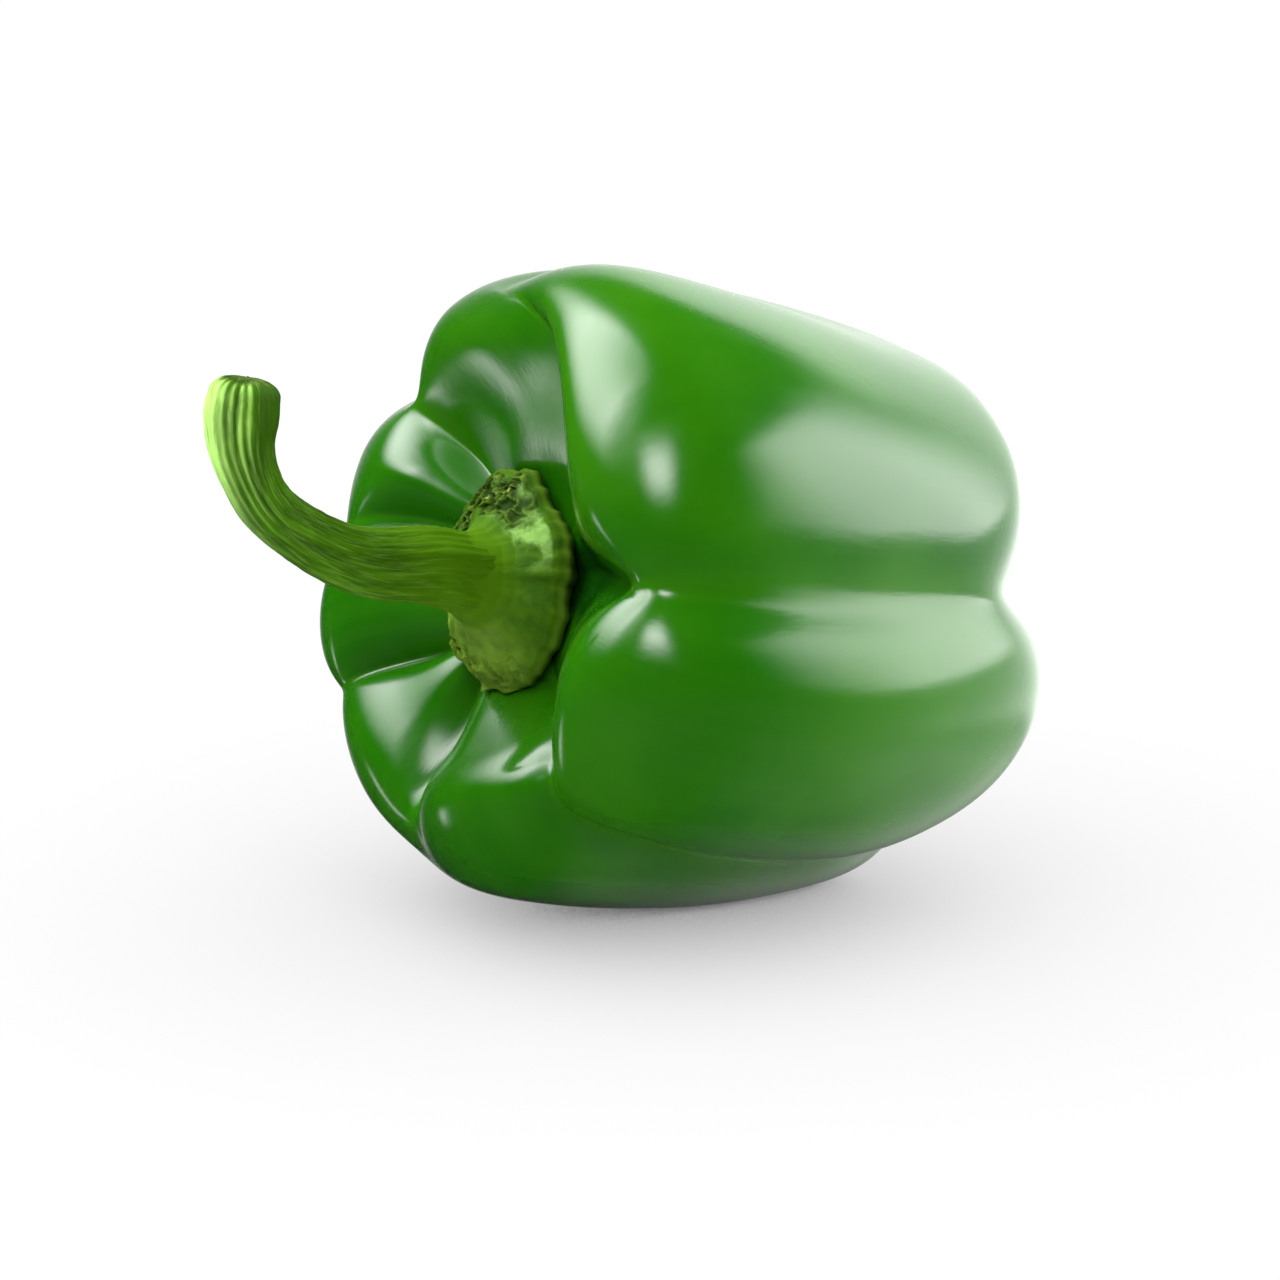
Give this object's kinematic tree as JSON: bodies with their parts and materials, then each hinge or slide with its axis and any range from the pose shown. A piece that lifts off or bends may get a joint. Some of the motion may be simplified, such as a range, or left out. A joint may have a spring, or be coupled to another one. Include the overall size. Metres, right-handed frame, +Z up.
{
  "type": "green bell pepper",
  "caption": "Green bell pepper lying on its side: rounded lobes with deep furrows, a domed calyx in the hollow and a ribbed, hooked stalk.",
  "frame": {"origin": "middle of the footprint, on the surface that the pepper lies on", "axes": "+Z up; the stalk points to -X and a little up, the blossom end to +X; -Y is the front, seen in the picture"},
  "size_m": [0.1164, 0.0837, 0.0825],
  "materials": {
    "skin": "smooth waxy deep green skin with clear highlights, a little lighter in the hollow",
    "calyx": "olive green, fibrous and mottled, with a paler flare and a dry ragged edge",
    "stalk": "satin green with pale lengthwise ribs, lighter yellow green towards the cut end"
  },
  "bodies": {
    "root": {"fruit": "skin", "calyx": "calyx", "stem": "stalk"}
  },
  "joints": []
}
